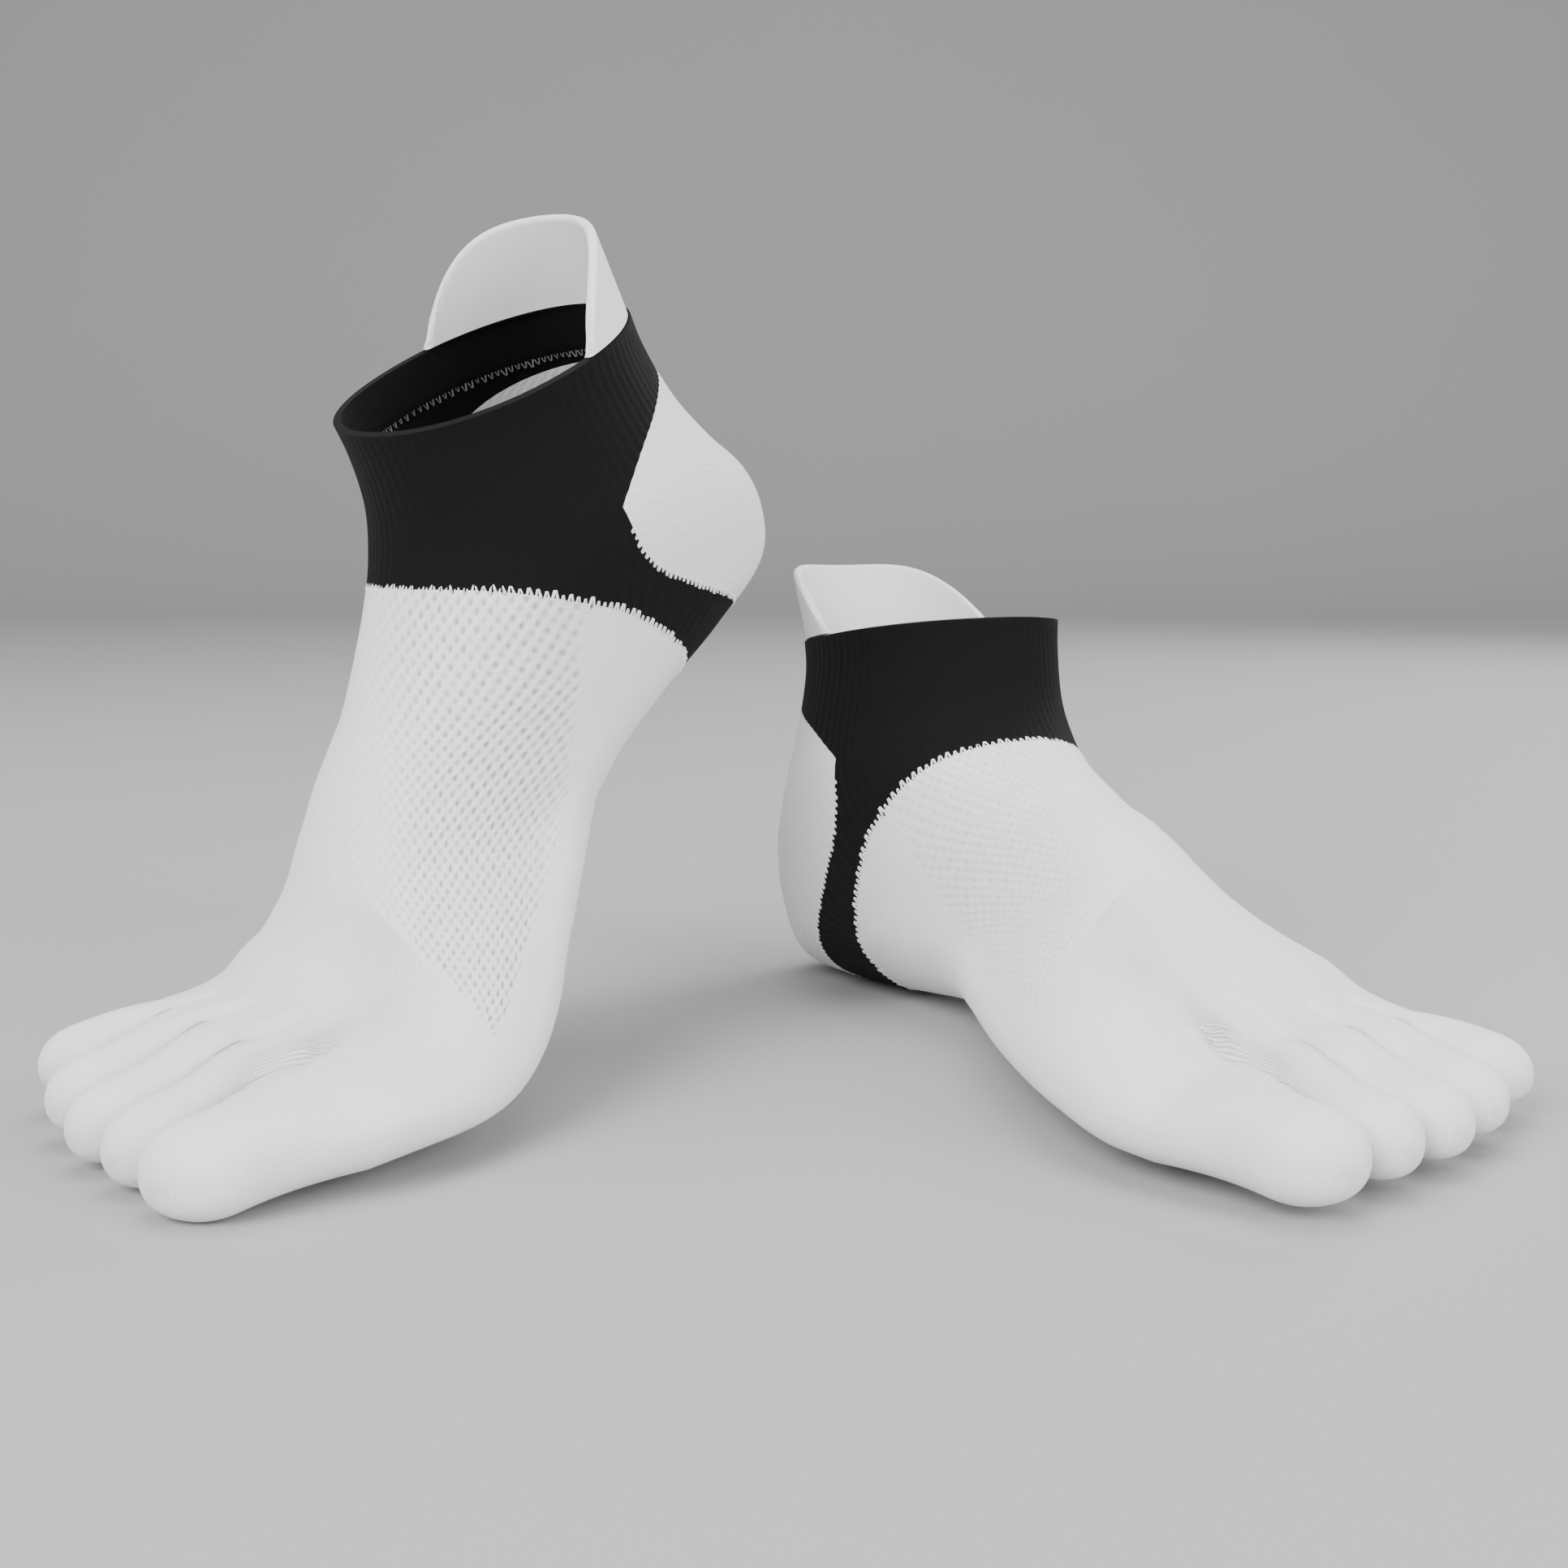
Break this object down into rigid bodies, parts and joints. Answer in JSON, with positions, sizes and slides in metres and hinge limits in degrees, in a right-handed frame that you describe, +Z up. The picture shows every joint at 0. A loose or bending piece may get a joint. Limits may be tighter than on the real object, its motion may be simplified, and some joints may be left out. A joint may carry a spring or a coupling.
{
  "type": "pair of toe socks",
  "caption": "Low-cut toe socks filled out as worn: white mesh foot with separate toes, dark rib ankle band with heel strap, white heel pocket and pull tab.",
  "frame": {"origin": "middle of the right sock's ankle opening, where a leg holds it", "axes": "+Z up, -Y towards the toes' side of the pair, +X across the pair towards the left sock"},
  "size_m": [0.3286, 0.2629, 0.2034],
  "materials": {
    "foot_knit": "matte white fine knit with an open mesh panel over the instep",
    "ankle_rib": "matte black fine rib, doubled at the cuff",
    "heel_knit": "matte white terry-backed knit with slanting courses",
    "tab_knit": "smooth white doubled knit"
  },
  "bodies": {
    "root": {"right_foot": "foot_knit", "right_ankle_band": "ankle_rib", "right_heel_pocket": "heel_knit", "right_pull_tab": "tab_knit", "left_foot": "foot_knit", "left_ankle_band": "ankle_rib", "left_heel_pocket": "heel_knit", "left_pull_tab": "tab_knit"}
  },
  "joints": []
}
